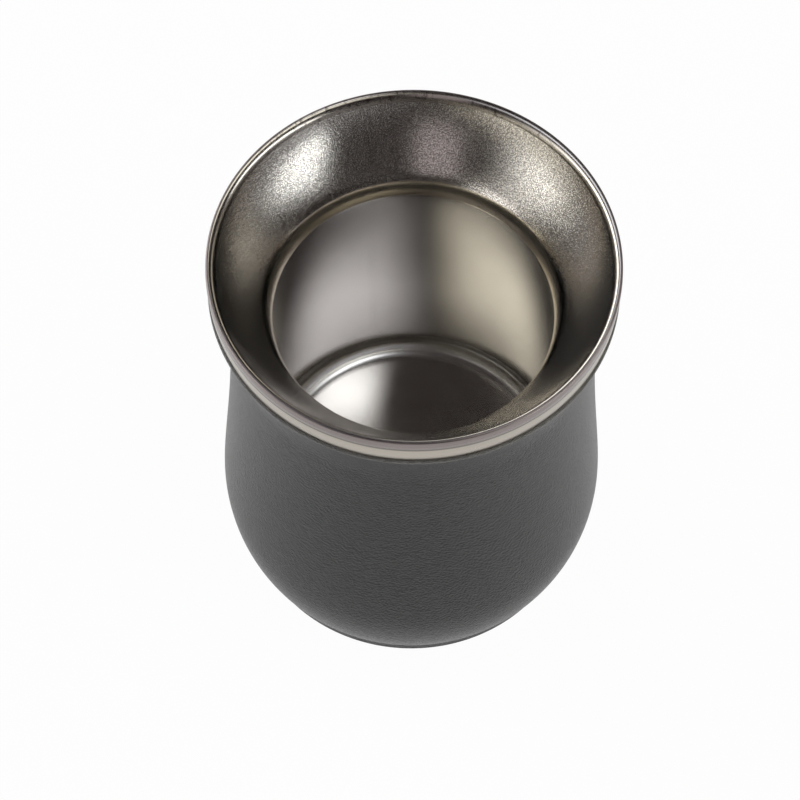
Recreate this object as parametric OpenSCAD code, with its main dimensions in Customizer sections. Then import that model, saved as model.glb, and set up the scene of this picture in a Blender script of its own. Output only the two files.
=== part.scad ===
// Mate cup: double-walled steel cup with a flared mouth, a narrow throat and a sleeve.
// Millimetres, +Z up, origin at the middle of the ring that the cup stands on.

/* [Lip] */
// Height of the cup, from the standing ring to the top of the lip
cup_h = 103; // [98:0.5:112]
// Outer radius of the lip
lip_r = 41; // [40:0.1:44]
// Width of the lip's polished face, seen from above
lip_w = 1.9; // [1.6:0.1:2.4]
// Height that the lip's face falls towards the inside
lip_fall = 1.7; // [1.2:0.1:2.4]
// Height of the lip's outer face, down to the joint with the outer shell
lip_skirt_h = 2.6; // [2:0.1:3.4]
// Amount that the lip's outer face bulges
lip_bulge = 0.12; // [0.04:0.02:0.3]
// Width and height of the rounded ridge where the lip's two faces meet
lip_ridge_w = 0.45; // [0.3:0.05:0.7]

/* [Mouth] */
// Depth of the mouth's foot below the top of the lip
mouth_d = 15.9; // [14:0.1:18]
// Width of the mouth's slope and the lip together, seen from above
mouth_w = 11.3; // [10:0.1:13]
// Reach of the handle that hollows the mouth's slope under the lip
mouth_bowl = 0.85; // [0.2:0.05:1.2]
// Amount that the throat lies inside the mouth's foot
throat_in = 1.3; // [0.8:0.1:2]
// Height of the throat ring below the mouth's foot
throat_h = 4; // [3:0.1:5]

/* [Body] */
// Height of the bare steel collar, lip face included
collar_h = 7.8; // [6:0.1:10]
// Amount that the collar's lower edge lies inside the lip
collar_in = 0.7; // [0.3:0.1:1.4]
// Depth of the neck below the top of the lip
neck_d = 23; // [20:0.5:28]
// Amount that the neck's steel lies inside the lip
neck_in = 4.4; // [3:0.1:5]
// Height of the belly's widest place
belly_z = 21.3; // [18:0.1:25]
// Amount that the belly's steel lies inside the lip
belly_in = 0.9; // [0.4:0.1:2.4]
// Amount that the foot's steel lies inside the lip
foot_in = 5.4; // [4.4:0.1:6.4]
// Height of the straight foot that the base is pressed into
foot_h = 2.6; // [2.2:0.1:3.4]

/* [Sheet] */
// Thickness of the inner steel sheet
inner_t = 0.6; // [0.4:0.05:0.7]
// Thickness of the outer steel sheet
outer_t = 0.6; // [0.4:0.05:0.7]

/* [Inner belly] */
// Amount that the inner wall's widest place lies inside the lip
swell_in = 6.3; // [6:0.1:7]
// Depth of the inner wall's widest place below the top of the lip
swell_d = 42; // [36:0.5:50]
// Amount that the wall's lower edge lies inside the lip
wall_foot_in = 8.6; // [8:0.1:9.4]

/* [Inner floor] */
// Height of the inner floor's top above the standing ring
floor_z = 14.8; // [12:0.1:18]
// Width of the bend from the wall's lower edge to the groove
floor_bend_w = 1; // [0.8:0.1:1.8]
// Width of the raised middle's sloping edge
floor_edge_w = 1.9; // [1.4:0.1:2.2]
// Height of the raised middle above the groove round it
floor_step_h = 0.9; // [0.4:0.1:1.4]
// Depth of the shallow dish that the raised middle is pressed to
floor_dish = 1.2; // [0.4:0.1:1.6]
// Height of the wall's lower edge above the groove
floor_rise = 1.6; // [1.2:0.1:3]

/* [Base] */
// Thickness of the base sheet
base_t = 0.6; // [0.4:0.05:0.8]
// Height of the base plate's underside above the standing ring
base_recess = 1.6; // [1:0.1:1.9]

/* [Sleeve] */
// Thickness of the sleeve
sleeve_t = 0.7; // [0.4:0.05:1.2]
// Radius of the sleeve's rounded edges
sleeve_edge_r = 0.3; // [0.1:0.05:0.3]
// Height of the sleeve's lower edge above the standing ring
sleeve_z = 0.5; // [0.3:0.1:1.5]

/* [Hidden] */
$fn = 96;

steel_mouth = "#9c958c";
steel_shell = "#b5b0a8";
steel_base = "#8f8b86";
sleeve_grey = "#4a4a4b";

// Sides of a long curve, of a short curve and of a small rounding
long_n = 22;
short_n = 12;
corner_n = 5;
// Shortest side kept where a line of points is cut at a height
short_edge = 0.02;

// Handles of the outer shell's curves, from the lip down to the foot, each as a share
// of the height that its curve spans
skirt_pull = [0, 0.35];
collar_pull = [0.08, 0.3];
flare_pull = [0.1, 0.25];
nape_pull = [0, 0.45];
neck_pull = [0, 0.43];
belly_pull = [0, 0.15];
tuck_pull = [0, 0.38];
foot_pull = [0.15, 0.29];
// Handles of the lip's curves, as shares of its width, of its fall and of its skirt
lip_side_pull = 0.25;
ridge_pull = 0.5;
lip_face_pull = [0.35, 0.05];
crease_pull = [0.15, 0.45];
// Handles of the mouth's slope and of the bend into the throat, as shares of the slope
// and of the throat's height
mouth_pull_out = 0.33;
mouth_pull_in = 0.3;
mouth_turn_pull = 0.06;
throat_pull = [0.05, 0.5];
// Place of the fold under the throat and the handles of its small curve, in sheet
// thicknesses
fold_step = [1.5, -1.4];
fold_pull_down = [0, 0.6];
fold_pull_back = [0.5, -0.4];
// Handles of the inner wall's curves under the fold: the first in sheet thicknesses,
// the rest as shares of the height that the curve spans
fold_reach = [8.2, -1.1];
swell_pull_up = [0, 0.85];
swell_pull_down = [0, 0.42];
wall_foot_pull = [0.031, 0.10];
// Share of the floor's middle at which the dish's handle lies
dish_pull = 0.5;
// Handles of the floor's bend, of its sloping edge and of the sleeve's rounded edges
bend_pull_down = [0, 0.7];
bend_pull_out = [0.55, 0];
edge_pull = [0.5, 0];
round_pull = [0.45, 0.45];

collar_r = lip_r - collar_in;
neck_r = lip_r - neck_in;
belly_r = lip_r - belly_in;
foot_r = lip_r - foot_in;
mouth_foot_r = lip_r - mouth_w;
throat_r = mouth_foot_r - throat_in;

lip_joint_z = cup_h - lip_skirt_h;
collar_z = cup_h - collar_h;
neck_z = cup_h - neck_d;
mouth_foot_z = cup_h - mouth_d;
throat_z = mouth_foot_z - throat_h;
swell_r = lip_r - swell_in;
swell_z = cup_h - swell_d;
wall_foot_r = lip_r - wall_foot_in;
groove_z = floor_z - floor_step_h;
wall_foot_z = groove_z + floor_rise;

// Point on a curve with two ends and two handles, at t from 0 to 1
function bend(a, b, c, d, t) =
    pow(1 - t, 3) * a + 3 * pow(1 - t, 2) * t * b + 3 * (1 - t) * t * t * c + t * t * t * d;

// Points of such a curve, its first end left out
function curve(a, b, c, d, n) = [for (i = [1:n]) bend(a, b, c, d, i / n)];

// Outward direction at point i of a line that runs down or inwards, level at its ends
function outward(p, i) =
    i == 0 || i == len(p) - 1 ? [1, 0] :
    let (v = p[i + 1] - p[i - 1], s = v / norm(v)) [-s.y, s.x];

// The same line of points moved outwards by w
function beside(p, w) = [for (i = [0:len(p) - 1]) p[i] + w * outward(p, i)];

function reversed(p) = [for (i = [len(p) - 1:-1:0]) p[i]];
function without_first(p) = [for (i = [1:len(p) - 1]) p[i]];

// Point where a falling line of points reaches the height z
function at_height(p, z) =
    let (i = max([for (k = [0:len(p) - 2]) if (p[k].y >= z) k]),
         s = (p[i].y - z) / (p[i].y - p[i + 1].y))
    p[i] + s * (p[i + 1] - p[i]);

// The stretch of a falling line of points between two heights
function between(p, high, low) = concat(
    [at_height(p, high)],
    [for (q = p) if (q.y < high - short_edge && q.y > low + short_edge) q],
    [at_height(p, low)]);

// Outer face of the outer shell, from the lip's joint to the standing ring
function shell_line() =
    let (top = [lip_r - lip_bulge, lip_joint_z], collar = [collar_r, collar_z],
         neck = [neck_r, neck_z], belly = [belly_r, belly_z], foot = [foot_r, foot_h],
         collar_rise = lip_joint_z - collar_z, neck_rise = collar_z - neck_z,
         belly_rise = neck_z - belly_z, foot_rise = belly_z - foot_h)
    concat(
        [top],
        curve(top, top - skirt_pull * collar_rise,
              collar + collar_pull * collar_rise, collar, corner_n),
        curve(collar, collar - flare_pull * neck_rise,
              neck + nape_pull * neck_rise, neck, short_n),
        curve(neck, neck - neck_pull * belly_rise,
              belly + belly_pull * belly_rise, belly, long_n),
        curve(belly, belly - tuck_pull * foot_rise,
              foot + foot_pull * foot_rise, foot, short_n),
        [[foot_r, 0]]);

// Lip, from the joint with the shell over the top to the crease where the mouth begins
function lip_line() =
    let (joint = [lip_r - lip_bulge, lip_joint_z],
         brow = [lip_r - lip_bulge / 2, cup_h - lip_ridge_w],
         ridge = [lip_r - lip_ridge_w, cup_h],
         crease = [lip_r - lip_w, cup_h - lip_fall])
    concat(
        [joint],
        curve(joint, joint + [lip_bulge, lip_side_pull * lip_skirt_h],
              brow + [lip_bulge / 2, -lip_side_pull * lip_skirt_h], brow, corner_n),
        curve(brow, brow + [0, ridge_pull * lip_ridge_w],
              ridge + [ridge_pull * lip_ridge_w, 0], ridge, corner_n),
        curve(ridge, ridge - lip_face_pull * lip_w,
              crease + crease_pull * lip_fall, crease, corner_n));

// Inner face of the flared mouth and the throat ring under it
function mouth_line() =
    let (crease = [lip_r - lip_w, cup_h - lip_fall],
         foot = [mouth_foot_r, mouth_foot_z], throat = [throat_r, throat_z],
         slant = crease - foot,
         hollow = mouth_bowl * [slant.y, -slant.x] / norm(slant))
    concat(
        [crease],
        curve(crease, crease + hollow - mouth_pull_out * slant, foot + mouth_pull_in * slant,
              foot, short_n),
        curve(foot, foot - mouth_turn_pull * slant, throat + throat_pull * throat_h,
              throat, short_n));

// Inner face of the belly's wall, from the throat to the edge that stands on the floor
function wall_line() =
    let (throat = [throat_r, throat_z], fold = throat + fold_step * inner_t,
         swell = [swell_r, swell_z], edge = [wall_foot_r, wall_foot_z],
         high_rise = fold.y - swell_z, low_rise = swell_z - wall_foot_z)
    concat(
        [throat],
        curve(throat, throat - fold_pull_down * inner_t, fold - fold_pull_back * inner_t,
              fold, corner_n),
        curve(fold, fold + fold_reach * inner_t, swell + swell_pull_up * high_rise,
              swell, short_n),
        curve(swell, swell - swell_pull_down * low_rise,
              edge + wall_foot_pull * low_rise, edge, short_n));

// Top face of the inner floor, from the edge under the wall to the middle
function floor_line() =
    let (edge = [wall_foot_r, wall_foot_z],
         disc_foot = [edge.x - floor_bend_w, groove_z],
         disc_top = [disc_foot.x - floor_edge_w, floor_z])
    concat(
        [edge],
        curve(edge, edge - bend_pull_down * floor_rise,
              disc_foot + bend_pull_out * floor_bend_w, disc_foot, short_n),
        curve(disc_foot, disc_foot - edge_pull * floor_edge_w,
              disc_top + edge_pull * floor_edge_w, disc_top, short_n),
        curve(disc_top, disc_top - [dish_pull * disc_top.x, floor_dish],
              [dish_pull * disc_top.x, floor_z - floor_dish], [0, floor_z - floor_dish],
              short_n));

// Steel inner wall: lip, flared mouth, throat and belly, one welded and pressed tube
module inner_wall() {
    face = concat(mouth_line(), without_first(wall_line()));
    mouth_back = [for (q = beside(mouth_line(), inner_t))
        if (q.y < lip_joint_z && q.y > throat_z + inner_t) q];
    wall_back = [for (q = beside(wall_line(), inner_t)) if (q.y < throat_z - inner_t) q];
    back = concat(mouth_back, wall_back);
    seat = [lip_r - lip_bulge - outer_t, lip_joint_z];
    color(steel_mouth)
    rotate_extrude()
    polygon(concat(lip_line(), without_first(face), reversed(back), [seat]));
}

// Stamped floor of the inner cup, welded under the wall's edge
module inner_floor() {
    face = floor_line();
    under = [for (q = beside(face, inner_t)) if (q.x > inner_t) q];
    color(steel_mouth)
    rotate_extrude()
    polygon(concat(face, [[0, floor_z - floor_dish - inner_t]], reversed(under)));
}

// Outer steel shell, welded under the lip, with the collar left bare
module outer_shell() {
    face = shell_line();
    color(steel_shell)
    rotate_extrude()
    polygon(concat(face, reversed(beside(face, -outer_t))));
}

// Base plate, a shallow pan pressed up into the shell's foot
module base_plate() {
    pan_r = foot_r - outer_t;
    color(steel_base)
    difference() {
        cylinder(h = base_recess + base_t, r = pan_r);
        translate([0, 0, -base_t])
        cylinder(h = base_recess + base_t, r = pan_r - base_t);
    }
}

// Leather-look sleeve, glued round the shell from the collar to the foot
module sleeve() {
    inside = between(shell_line(), collar_z, sleeve_z);
    outside = beside(inside, sleeve_t);
    top_edge = outside[0] - [sleeve_edge_r, 0];
    low_edge = outside[len(outside) - 1] - [sleeve_edge_r, 0];
    face = between(outside, collar_z - sleeve_edge_r, sleeve_z + sleeve_edge_r);
    high = face[0];
    low = face[len(face) - 1];
    round_x = [round_pull.x * sleeve_edge_r, 0];
    round_z = [0, round_pull.y * sleeve_edge_r];
    color(sleeve_grey)
    rotate_extrude()
    polygon(concat(inside, [low_edge],
                   curve(low_edge, low_edge + round_x, low - round_z, low, corner_n),
                   without_first(reversed(face)),
                   curve(high, high + round_z, top_edge + round_x, top_edge, corner_n)));
}

inner_wall();
inner_floor();
outer_shell();
base_plate();
sleeve();
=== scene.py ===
import math

import bmesh
import bpy
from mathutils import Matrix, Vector
from mathutils.geometry import interpolate_bezier


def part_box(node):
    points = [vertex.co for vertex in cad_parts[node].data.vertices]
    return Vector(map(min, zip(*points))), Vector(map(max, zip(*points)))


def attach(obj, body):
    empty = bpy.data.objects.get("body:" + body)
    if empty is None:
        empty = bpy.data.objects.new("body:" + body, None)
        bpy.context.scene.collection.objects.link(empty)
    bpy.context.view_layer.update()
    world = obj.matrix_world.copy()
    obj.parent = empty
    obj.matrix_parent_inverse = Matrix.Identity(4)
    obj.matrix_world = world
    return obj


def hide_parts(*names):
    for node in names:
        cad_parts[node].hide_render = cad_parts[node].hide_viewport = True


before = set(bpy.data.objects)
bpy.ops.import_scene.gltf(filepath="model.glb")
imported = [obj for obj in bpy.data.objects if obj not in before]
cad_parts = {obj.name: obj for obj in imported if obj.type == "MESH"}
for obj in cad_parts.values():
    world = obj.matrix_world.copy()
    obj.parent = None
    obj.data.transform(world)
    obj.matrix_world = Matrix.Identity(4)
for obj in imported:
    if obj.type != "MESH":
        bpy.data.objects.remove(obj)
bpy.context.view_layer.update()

# Inner wall. One tube of stainless sheet, welded along its length and pressed: the lip, the
# flared mouth, the throat and the wall of the belly. The mouth is bead-blasted to a satin,
# the lip and the throat are polished, and the belly's wall keeps the fine lines of its drawing.
mm = 0.001
cup_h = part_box("inner_wall")[1].z
lip_r = 41 * mm
lip_w = 1.9 * mm
lip_fall = 1.7 * mm
lip_skirt_h = 2.6 * mm
lip_bulge = 0.12 * mm
lip_ridge_w = 0.45 * mm
mouth_w = 11.3 * mm
mouth_d = 15.9 * mm
mouth_bowl = 0.85 * mm
throat_in = 1.3 * mm
throat_h = 4 * mm
swell_in = 6.3 * mm
swell_d = 42 * mm
wall_foot_in = 8.6 * mm
inner_t = 0.6 * mm
outer_t = 0.6 * mm
floor_z = 14.8 * mm
wall_foot_rise = 0.7 * mm
wall_end_rise = 3.7 * mm
turn_steps = 288
long_sides = 40
short_sides = 20
corner_sides = 9
shortest_side = 0.02 * mm
same_place = 0.001 * mm


def at(radius, height):
    """A point of an outline, in the plane that is turned about the cup's axis."""
    return Vector((radius, 0, height))


def bend(start, pull, push, end, sides):
    """Points of a smooth curve that leaves start along pull and reaches end from push."""
    return interpolate_bezier(start, start + pull, end + push, end, sides + 1)[1:]


def beside(line, width):
    """A line that runs down or inwards, moved outwards by a width and level at its ends."""
    moved = [line[0] + at(width, 0)]
    for before, here, after in zip(line, line[1:], line[2:]):
        along = (after - before).normalized()
        moved.append(here + width * at(-along.z, along.x))
    return moved + [line[-1] + at(width, 0)]


def level_point(line, height):
    """The point at which a falling line passes a height."""
    for above, below in zip(line, line[1:]):
        if above.z >= height > below.z:
            return above.lerp(below, (above.z - height) / (above.z - below.z))
    return line[-1]


def spun(name, outline, sharp_angle=38):
    """A piece turned about the cup's axis from the closed outline of its section."""
    work = bmesh.new()
    corners = [work.verts.new(point) for point in outline]
    pairs = zip(corners, corners[1:] + corners[:1])
    sides = [work.edges.new(pair) for pair in pairs if pair[0].co.x or pair[1].co.x]
    bmesh.ops.spin(work, geom=corners + sides, cent=(0, 0, 0), axis=(0, 0, 1),
                   angle=math.tau, steps=turn_steps, use_merge=True)
    bmesh.ops.remove_doubles(work, verts=work.verts, dist=same_place)
    bmesh.ops.recalc_face_normals(work, faces=work.faces)
    mesh = bpy.data.meshes.new(name)
    work.to_mesh(mesh)
    work.free()
    mesh.shade_smooth()
    mesh.set_sharp_from_angle(angle=math.radians(sharp_angle))
    piece = bpy.data.objects.new(name, mesh)
    bpy.context.collection.objects.link(piece)
    return piece


class Flow:
    """One output socket of a finish's nodes, so that patterns are written as plain sums."""

    def __init__(self, tree, socket):
        self.tree = tree
        self.socket = socket

    def node(self, kind, inputs, output=0, **settings):
        """Any other node: its type, its inputs' values or links, and its settings."""
        made = self.tree.nodes.new(kind)
        for setting, value in settings.items():
            setattr(made, setting, value)
        for socket, value in inputs.items():
            if isinstance(value, Flow):
                self.tree.links.new(value.socket, made.inputs[socket])
            else:
                made.inputs[socket].default_value = value
        return Flow(self.tree, made.outputs[output])

    def maths(self, operation, *values):
        return self.node("ShaderNodeMath", dict(enumerate((self, *values))), operation=operation)

    def __add__(self, other):
        return self.maths("ADD", other)

    def __radd__(self, other):
        return self.maths("ADD", other)

    def __sub__(self, other):
        return self.maths("SUBTRACT", other)

    def __rsub__(self, other):
        return self.node("ShaderNodeMath", {0: other, 1: self}, operation="SUBTRACT")

    def __mul__(self, other):
        return self.maths("MULTIPLY", other)

    def __rmul__(self, other):
        return self.maths("MULTIPLY", other)

    def __truediv__(self, other):
        return self.maths("DIVIDE", other)

    def share(self, low, high):
        """0 below low, 1 above high and a soft step between them."""
        return self.node("ShaderNodeMapRange", {"Value": self, "From Min": low, "From Max": high},
                         interpolation_type="SMOOTHSTEP")

    def noise(self, scale, detail=2.0, roughness=0.5):
        return self.node("ShaderNodeTexNoise",
                         {"Vector": self, "Scale": scale, "Detail": detail, "Roughness": roughness})

    def blend(self, first, second):
        """The colour first where this is 0 and second where it is 1."""
        return self.node("ShaderNodeMix", {"Factor": self, "A": first, "B": second},
                         output="Result", data_type="RGBA")


class Finish:
    """A new material with its shader, and the places on the piece that its patterns read."""

    def __init__(self, name, **fixed):
        self.material = bpy.data.materials.new(name)
        self.material.use_nodes = True
        tree = self.material.node_tree
        self.shader = tree.nodes["Principled BSDF"]
        coordinates = tree.nodes.new("ShaderNodeTexCoord")
        self.place = Flow(tree, coordinates.outputs["Object"])
        apart = tree.nodes.new("ShaderNodeSeparateXYZ")
        tree.links.new(self.place.socket, apart.inputs[0])
        self.x, self.y, self.z = (Flow(tree, out) for out in apart.outputs)
        self.radius = (self.x * self.x + self.y * self.y).maths("SQRT")
        self.angle = self.y.maths("ARCTAN2", self.x)
        for socket, value in fixed.items():
            self.shader.inputs[socket.replace("_", " ")].default_value = value

    def feed(self, socket, flow):
        self.material.node_tree.links.new(flow.socket, self.shader.inputs[socket])

    def rounds(self, fine, drift=6.0):
        """A vector on which noise becomes lines that run round the cup's axis."""
        return self.angle.node("ShaderNodeCombineXYZ", {
            "X": self.angle * drift, "Y": self.radius * fine, "Z": self.z * fine})

    def relief(self, height):
        """A surface that stands up by a height in metres, without changing the mesh."""
        self.feed("Normal", height.node("ShaderNodeBump", {"Height": height, "Distance": 1.0},
                                        output="Normal"))

    def dress(self, piece):
        piece.data.materials.clear()
        piece.data.materials.append(self.material)


mouth_foot_r = lip_r - mouth_w
throat_r = mouth_foot_r - throat_in
wall_foot_r = lip_r - wall_foot_in
lip_joint_z = cup_h - lip_skirt_h
crease_z = cup_h - lip_fall
mouth_foot_z = cup_h - mouth_d
throat_z = mouth_foot_z - throat_h
swell_z = cup_h - swell_d
wall_foot_z = floor_z + wall_foot_rise
wall_end_z = floor_z + wall_end_rise

joint = at(lip_r - lip_bulge, lip_joint_z)
brow = at(lip_r - lip_bulge / 2, cup_h - lip_ridge_w)
ridge = at(lip_r - lip_ridge_w, cup_h)
crease = at(lip_r - lip_w, crease_z)
lip_side_pull = 0.25 * lip_skirt_h
ridge_pull = 0.5 * lip_ridge_w
lip_face_pull = at(-0.35 * lip_w, -0.05 * lip_w)
crease_pull = at(0.15 * lip_fall, 0.45 * lip_fall)
lip_line = (
    [joint]
    + bend(joint, at(lip_bulge, lip_side_pull), at(lip_bulge / 2, -lip_side_pull), brow,
           corner_sides)
    + bend(brow, at(0, ridge_pull), at(ridge_pull, 0), ridge, corner_sides)
    + bend(ridge, lip_face_pull, crease_pull, crease, 2 * corner_sides))

mouth_foot = at(mouth_foot_r, mouth_foot_z)
throat = at(throat_r, throat_z)
slant = crease - mouth_foot
bowl = mouth_bowl * at(slant.z, -slant.x).normalized()
mouth_pull_out = 0.33
mouth_pull_in = 0.3
mouth_turn_pull = 0.06
throat_pull = at(0.05 * throat_h, 0.5 * throat_h)
mouth_line = (
    [crease]
    + bend(crease, bowl - mouth_pull_out * slant, mouth_pull_in * slant, mouth_foot, long_sides)
    + bend(mouth_foot, -mouth_turn_pull * slant, throat_pull, throat, short_sides))

fold = throat + at(1.5 * inner_t, -1.4 * inner_t)
swell = at(lip_r - swell_in, swell_z)
wall_foot = at(wall_foot_r, wall_foot_z)
high_rise = fold.z - swell_z
low_rise = swell_z - wall_foot_z
tuck_pull = at(0, -0.6 * inner_t)
fold_pull = at(-0.5 * inner_t, 0.4 * inner_t)
shoulder_pull = at(8.2 * inner_t, -1.1 * inner_t)
swell_pull_up = at(0, 0.85 * high_rise)
swell_pull_down = at(0, -0.42 * low_rise)
wall_foot_pull = at(0.031 * low_rise, 0.10 * low_rise)
whole_wall = (
    [throat]
    + bend(throat, tuck_pull, fold_pull, fold, corner_sides)
    + bend(fold, shoulder_pull, swell_pull_up, swell, long_sides)
    + bend(swell, swell_pull_down, wall_foot_pull, wall_foot, long_sides))
wall_line = ([point for point in whole_wall if point.z > wall_end_z + shortest_side]
             + [level_point(whole_wall, wall_end_z)])
mouth_back = [point for point in beside(mouth_line, inner_t)
              if throat_z + inner_t < point.z < lip_joint_z]
wall_back = [point for point in beside(wall_line, inner_t) if point.z < throat_z - inner_t]
seat = at(lip_r - lip_bulge - outer_t, lip_joint_z)
inner_wall = spun("steel_inner_wall", lip_line + mouth_line[1:] + wall_line[1:]
                  + (mouth_back + wall_back)[::-1] + [seat])

satin = Finish("blasted_and_polished_steel", Metallic=1.0)
on_mouth = satin.z.share(mouth_foot_z + 0.3 * mm, mouth_foot_z + 1.6 * mm) * (
    1 - satin.z.share(crease_z - 0.35 * mm, crease_z + 0.05 * mm))
on_lip = satin.z.share(crease_z - 0.2 * mm, crease_z + 0.1 * mm)
on_wall = 1 - satin.z.share(throat_z - 2.5 * mm, throat_z - 1.2 * mm)
on_throat = (satin.z.share(throat_z - 0.8 * mm, throat_z)
             * (1 - satin.z.share(mouth_foot_z - 0.9 * mm, mouth_foot_z + 0.2 * mm)))
pearl_scale = 4200
line_scale = 9000
cloud_scale = 90
scuff_scale = 900
pearls = satin.place.noise(pearl_scale, detail=1, roughness=0.6)
clouds = satin.place.noise(cloud_scale, detail=3)
lines = satin.rounds(line_scale).noise(1.0, detail=3, roughness=0.6)
seam_turn = math.radians(345)
seam_half_w = 0.45 * mm
off_seam = (satin.x * math.cos(seam_turn) - satin.y * math.sin(seam_turn)).maths("ABSOLUTE")
seam = 1 - (off_seam - seam_half_w).maths("ABSOLUTE").share(0.06 * mm, 0.26 * mm)
on_skirt = (satin.radius.share(lip_r - 0.75 * mm, lip_r - 0.35 * mm)
            * satin.z.share(lip_joint_z - 0.3 * mm, lip_joint_z))
# Painted shade along the foot of the lip's skirt, where it meets the collar.
painted_shade_at_joint = 1 - (satin.z - lip_joint_z).maths("ABSOLUTE").share(0.1 * mm, 0.5 * mm)
sparkle = pearls.share(0.36, 0.64)
mouth_tone = sparkle.blend((0.36, 0.335, 0.31, 1), (0.92, 0.89, 0.84, 1))
throat_tone = lines.blend((0.76, 0.68, 0.54, 1), (0.86, 0.78, 0.64, 1))
wall_tone = (clouds * 0.4 + lines * 0.6).blend((0.58, 0.56, 0.525, 1), (0.67, 0.64, 0.61, 1))
top_tone = (clouds * 0.5 + lines * 0.5).blend((0.36, 0.33, 0.30, 1), (0.58, 0.54, 0.49, 1))
# Painted shade: the lip's outer skirt gets a much darker copy of the polished steel, standing in
# for the dark front that it reflects.
skirt_painted_shade_tone = (clouds * 0.5 + lines * 0.5).blend((0.19, 0.165, 0.16, 1), (0.29, 0.25, 0.24, 1))
scuffs = (satin.place.noise(scuff_scale, detail=4).share(0.56, 0.68) * on_lip
          * (satin.y / lip_r).share(0.4, 0.9))
tone = on_throat.blend(mouth_tone, throat_tone)
tone = on_wall.blend(tone, wall_tone)
tone = on_lip.blend(tone, top_tone)
tone = on_skirt.blend(tone, skirt_painted_shade_tone)
# A dark tone for the weld seam and the scuffs on the lip's top, and for painted shade where the
# skirt meets the collar.
grime_and_shade_tone = (0.08, 0.07, 0.06, 1)
dark = painted_shade_at_joint * on_skirt * 0.7 + scuffs * 0.6 + seam * (0.16 - on_wall * 0.08 - on_lip * 0.1)
satin.feed("Base Color", dark.blend(tone, grime_and_shade_tone))
satin.feed("Metallic", 1 - on_mouth * 0.025 - on_throat * 0.08)
polish = 0.09
satin.feed("Roughness", polish + on_mouth * 0.09 + on_wall * 0.05 + on_lip * 0.12 + on_throat * 0.1
           + on_skirt * 0.08 + (clouds - 0.5) * 0.03)
pearl_h = 0.02 * mm
wall_line_h = 0.006 * mm
lip_line_h = 0.003 * mm
satin.relief(pearls * on_mouth * pearl_h + lines * (on_wall * wall_line_h + on_lip * lip_line_h))
satin.dress(inner_wall)
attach(inner_wall, "root")
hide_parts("inner_wall")

# Inner floor. A stamped pan of the same sheet, welded under the wall's lower edge: it turns in
# round a bend to a crease, falls over a bright sloping ring, and is dished in its middle.
crease_in = 1.2 * mm
crease_up = 0.75 * mm
ring_w = 1.9 * mm
ring_drop = 0.8 * mm
floor_dish = 1.2 * mm
rim_pull = 1.6 * mm
bend_pull = 1.0 * mm
ring_pull = 0.7 * mm
bend_slope = 40
ring_slope = 34
dish_slope = 13


def toward(slope, reach):
    """A step inwards and down at a slope in degrees."""
    return at(-reach * math.cos(math.radians(slope)), -reach * math.sin(math.radians(slope)))


rim = wall_line[-1]
ring_top = at(wall_foot_r - crease_in, floor_z + crease_up)
ring_low = ring_top - at(ring_w, ring_drop)
dish = at(0, floor_z - floor_dish)
floor_line = (
    [rim]
    + bend(rim, at(0, -rim_pull), -toward(bend_slope, bend_pull), ring_top, short_sides)
    + bend(ring_top, toward(ring_slope, ring_pull), -toward(dish_slope, ring_pull), ring_low,
           short_sides)
    + bend(ring_low, at(-0.5 * ring_low.x, -floor_dish), at(0.5 * ring_low.x, 0), dish,
           long_sides))
under = [point for point in beside(floor_line, inner_t) if point.x > inner_t]
inner_floor = spun("steel_inner_floor", floor_line + [dish - at(0, inner_t)] + under[::-1])

stamped = Finish("stamped_steel", Metallic=1.0)
mottle = stamped.place.noise(160, detail=3)
grain = stamped.place.noise(2600, detail=2)
stamped.feed("Base Color", mottle.blend((0.76, 0.74, 0.71, 1), (0.86, 0.84, 0.81, 1)))
on_ring = stamped.radius.share(ring_low.x - 0.6 * mm, ring_low.x + 0.4 * mm)
stamped.feed("Roughness", 0.13 + mottle * 0.06 + on_ring * 0.06)
grain_h = 0.003 * mm
mottle_h = 0.01 * mm
stamped.relief(grain * grain_h + mottle * mottle_h)
stamped.dress(inner_floor)
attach(inner_floor, "root")
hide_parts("inner_floor")

# Outer shell. The outer sheet of the double wall, welded under the lip. Its top stays bare as a
# collar with a fine ground finish, and the rest is hidden by the sleeve.
collar_h = 7.8 * mm
collar_in = 0.7 * mm
neck_d = 23 * mm
neck_in = 4.4 * mm
belly_z = 21.3 * mm
belly_in = 0.9 * mm
foot_in = 5.4 * mm
foot_h = 2.6 * mm
collar_z = cup_h - collar_h
neck_z = cup_h - neck_d
foot_r = lip_r - foot_in
collar = at(lip_r - collar_in, collar_z)
neck = at(lip_r - neck_in, neck_z)
belly = at(lip_r - belly_in, belly_z)
foot = at(foot_r, foot_h)
collar_rise = lip_joint_z - collar_z
neck_rise = collar_z - neck_z
belly_rise = neck_z - belly_z
foot_rise = belly_z - foot_h
skirt_pull = at(0, -0.35 * collar_rise)
collar_pull = at(0.08 * collar_rise, 0.3 * collar_rise)
flare_pull = at(-0.1 * neck_rise, -0.25 * neck_rise)
nape_pull = at(0, 0.45 * neck_rise)
neck_pull = at(0, -0.43 * belly_rise)
belly_pull = at(0, 0.15 * belly_rise)
heel_pull = at(0, -0.38 * foot_rise)
foot_pull = at(0.15 * foot_rise, 0.29 * foot_rise)
shell_line = (
    [joint]
    + bend(joint, skirt_pull, collar_pull, collar, corner_sides)
    + bend(collar, flare_pull, nape_pull, neck, short_sides)
    + bend(neck, neck_pull, belly_pull, belly, long_sides)
    + bend(belly, heel_pull, foot_pull, foot, short_sides)
    + [at(foot_r, 0)])
outer_shell = spun("steel_outer_shell", shell_line + beside(shell_line, -outer_t)[::-1])

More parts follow.
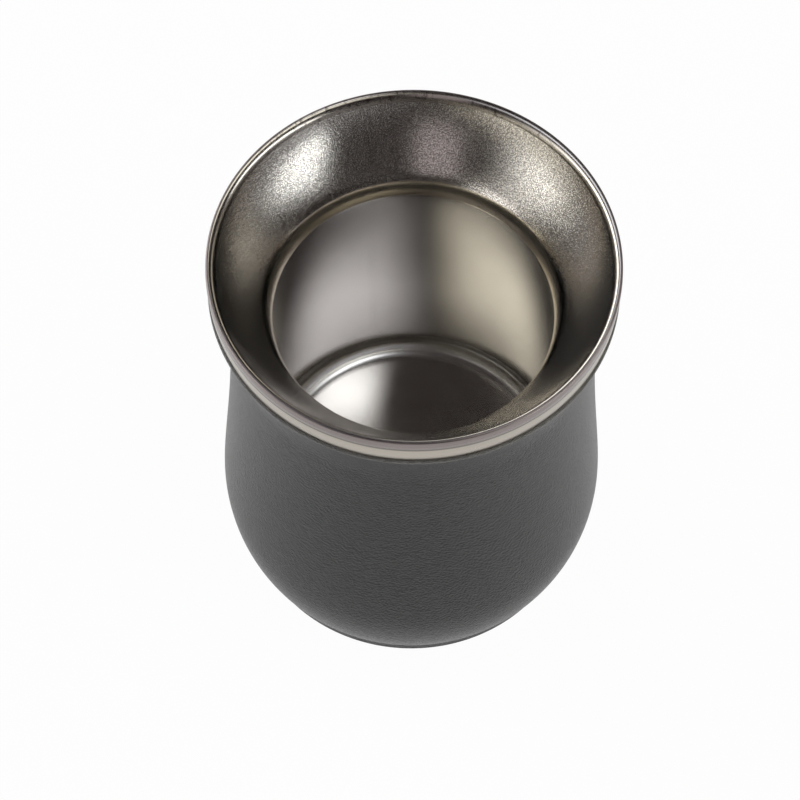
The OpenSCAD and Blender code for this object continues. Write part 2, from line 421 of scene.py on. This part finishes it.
ground = Finish("ground_steel", Metallic=1.0)
stroke_scale = 7000
stroke_h = 0.003 * mm
strokes = ground.rounds(stroke_scale).noise(1.0, detail=3, roughness=0.65)
patches = ground.place.noise(120, detail=3)
# Painted shade: the collar's top darkens just under the lip's joint.
painted_shade_under_lip = (ground.z - lip_joint_z + 0.6 * mm).share(0, 0.5 * mm)
bare = (strokes * 0.6 + patches * 0.4).blend((0.36, 0.325, 0.28, 1), (0.50, 0.46, 0.40, 1))
ground.feed("Base Color", (painted_shade_under_lip * 0.8).blend(bare, grime_and_shade_tone))
ground.feed("Roughness", 0.24 + patches * 0.1)
ground.relief(strokes * stroke_h)
ground.dress(outer_shell)
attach(outer_shell, "root")
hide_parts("outer_shell")

# Base plate. A shallow pan of sheet pressed up into the shell's foot, which closes the space
# between the walls. It keeps the fine rings of its turning.
base_t = 0.6 * mm
base_recess = 1.6 * mm
pan_r = foot_r - outer_t
pan_corner = 0.5 * base_t
base_plate = spun("steel_base_plate", [
    at(0, base_recess + base_t), at(pan_r - pan_corner, base_recess + base_t),
    at(pan_r, base_recess + base_t - pan_corner), at(pan_r, 0), at(pan_r - base_t, 0),
    at(pan_r - base_t, base_recess - pan_corner), at(pan_r - base_t - pan_corner, base_recess),
    at(0, base_recess)])

turned = Finish("turned_steel", Metallic=1.0)
ring_scale = 5000
ring_h = 0.004 * mm
rings = turned.rounds(ring_scale, drift=1.0).noise(1.0, detail=2)
haze = turned.place.noise(70, detail=3)
turned.feed("Base Color", haze.blend((0.50, 0.49, 0.47, 1), (0.60, 0.59, 0.57, 1)))
turned.feed("Roughness", 0.28 + rings * 0.12)
turned.relief(rings * ring_h)
turned.dress(base_plate)
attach(base_plate, "root")
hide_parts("base_plate")

# Sleeve. A wrap of grey leather-look sheet, shrunk and glued onto the shell from the collar to
# the foot. Both edges are rounded, and its ends meet in a butt joint at the back.
sleeve_t = 0.7 * mm
sleeve_edge_r = 0.3 * mm
sleeve_z = 0.5 * mm
edge_pull = 0.45 * sleeve_edge_r


def stretch(line, high, low):
    """The part of a falling line between two heights."""
    inside = [point for point in line if low + shortest_side < point.z < high - shortest_side]
    return [level_point(line, high)] + inside + [level_point(line, low)]


inside = stretch(shell_line, collar_z, sleeve_z)
outside = beside(inside, sleeve_t)
top_edge = outside[0]
low_edge = outside[-1]
face = stretch(outside, collar_z - sleeve_edge_r, sleeve_z + sleeve_edge_r)
outwards = at(edge_pull, 0)
upwards = at(0, edge_pull)
top_start = top_edge - at(sleeve_edge_r, 0)
low_start = low_edge - at(sleeve_edge_r, 0)
sleeve = spun("leather_sleeve", inside + [low_start]
              + bend(low_start, outwards, -upwards, face[-1], corner_sides)
              + face[-2::-1] + bend(face[0], upwards, outwards, top_start, corner_sides))

leather = Finish("grained_grey_leather", Specular_IOR_Level=0.26)
wrinkle_scale = 1700.0
warp_scale = 500
wrinkle_h = 0.3 * mm
butt_d = 0.15 * mm
warp = leather.place.noise(warp_scale, detail=2)
creases = leather.place.node("ShaderNodeTexVoronoi",
                             {"Vector": leather.place, "Scale": wrinkle_scale},
                             feature="DISTANCE_TO_EDGE")
wrinkles = leather.place.noise(wrinkle_scale, detail=2.5, roughness=0.55)
cut_edge = leather.z.share(collar_z - 0.5 * mm, collar_z - 0.25 * mm)
butt = (1 - leather.x.maths("ABSOLUTE").share(0.08 * mm, 0.22 * mm)) * leather.y.share(0, 0.01)
worn = (wrinkles * 0.6 + warp * 0.4).share(0.35, 0.65)
face_tone = worn.blend((0.002, 0.002, 0.002, 1), (0.022, 0.0215, 0.021, 1))
face_tone = cut_edge.blend(face_tone, (0.2, 0.195, 0.185, 1))
leather.feed("Base Color", butt.blend(face_tone, (0.004, 0.004, 0.004, 1)))
leather.feed("Roughness", 0.26 + wrinkles * 0.1)
leather.relief((wrinkles + creases * 0.6) * wrinkle_h - butt * butt_d)
leather.dress(sleeve)
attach(sleeve, "root")
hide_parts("sleeve")

# Floor. A wide pale sweep that the cup stands on. The camera and the steel see it nearly white,
# and it keeps the cup's shadow.
sweep_w = 6
white_share = 0.97
bpy.ops.mesh.primitive_plane_add(size=sweep_w)
sweep = bpy.context.object
sweep.name = "floor"
paper = bpy.data.materials.new("floor_paper")
paper.use_nodes = True
tree = paper.node_tree
matt = tree.nodes["Principled BSDF"]
matt.inputs["Base Color"].default_value = (0.9, 0.9, 0.9, 1)
matt.inputs["Roughness"].default_value = 0.9
glow = tree.nodes.new("ShaderNodeEmission")
glow.inputs["Strength"].default_value = 1.0
path = tree.nodes.new("ShaderNodeLightPath")
seen = Flow(tree, path.outputs["Is Camera Ray"]).maths(
    "MAXIMUM", Flow(tree, path.outputs["Is Glossy Ray"])).maths(
    "MAXIMUM", Flow(tree, path.outputs["Is Transmission Ray"]))
mixed = seen.node("ShaderNodeMixShader", {0: seen * white_share})
tree.links.new(matt.outputs[0], mixed.socket.node.inputs[1])
tree.links.new(glow.outputs[0], mixed.socket.node.inputs[2])
tree.links.new(mixed.socket, tree.nodes["Material Output"].inputs["Surface"])
sweep.data.materials.append(paper)

# Light. A round tent of dark cloth with long soft windows of light in it: a low and a high one
# on each side of the cup, a small one overhead and a faint one at the front. The steel shows
# the tent, and the camera looks past it at the white room.
tent_r = 2.5
work = bmesh.new()
bmesh.ops.create_uvsphere(work, u_segments=64, v_segments=32, radius=tent_r)
tent_mesh = bpy.data.meshes.new("tent")
work.to_mesh(tent_mesh)
work.free()
tent = bpy.data.objects.new("tent", tent_mesh)
bpy.context.collection.objects.link(tent)
tent.visible_camera = False

cloth = Finish("tent_cloth", Base_Color=(0, 0, 0, 1), Specular_IOR_Level=0.0,
               Emission_Strength=1.0)
bearing = cloth.x.maths("ARCTAN2", cloth.y)
rise = (cloth.z / tent_r).maths("ARCSINE")


def window(behind, to_right, up, half_width, half_height, softness, light):
    """A soft window at a bearing and a rise in degrees, with what is behind it where it ends."""
    across = (bearing - math.radians(to_right)).maths("WRAP", math.pi, -math.pi)
    across = across / math.radians(half_width)
    along = (rise - math.radians(up)) / math.radians(half_height)
    reach = (across.maths("POWER", 4) + along.maths("POWER", 4)).maths("POWER", 0.25)
    return (1 - reach.share(1 - softness, 1 + softness)).blend(behind, (*light, 1))


cloth_tone = (0.044, 0.038, 0.037, 1)
glow = window(cloth_tone, -168, 30, 13, 18, 0.2, (0.40, 0.36, 0.37))
glow = window(glow, -63, 7, 48, 9.5, 0.7, (5.2, 5.2, 5.1))
glow = window(glow, -73, 46, 60, 6.5, 0.75, (2.3, 2.4, 2.7))
glow = window(glow, 110, -2, 26, 16, 0.15, (4.3, 4.4, 4.4))
glow = window(glow, 97, 50, 57, 7, 0.65, (2.6, 2.6, 2.4))
glow = window(glow, 113, 70, 37, 5, 0.4, (2.45, 2.5, 2.6))
cloth.feed("Emission Color", glow)
cloth.material.cycles.emission_sampling = "NONE"
cloth.dress(tent)

room = bpy.data.worlds.new("room")
bpy.context.scene.world = room
room.use_nodes = True
room.node_tree.nodes["Background"].inputs["Color"].default_value = (1, 1, 1, 1)

# Camera. It looks down at the cup from the front through a long lens, as the photograph does,
# and everything it sees is sharp.
view_tilt = math.radians(29.35)
view_roll = math.radians(0.45)
view_left = 2.57 * mm
view_front = 317.5 * mm
view_above_lip = 508.9 * mm
lens = 137.66
camera_data = bpy.data.cameras.new("camera")
camera_data.lens = lens
camera = bpy.data.objects.new("camera", camera_data)
camera.location = (-view_left, -view_front, cup_h + view_above_lip)
camera.rotation_euler = (view_tilt, 0, 0)
camera.rotation_euler.rotate_axis("Z", view_roll)
bpy.context.collection.objects.link(camera)
bpy.context.scene.camera = camera
bpy.context.scene.view_settings.view_transform = "Standard"
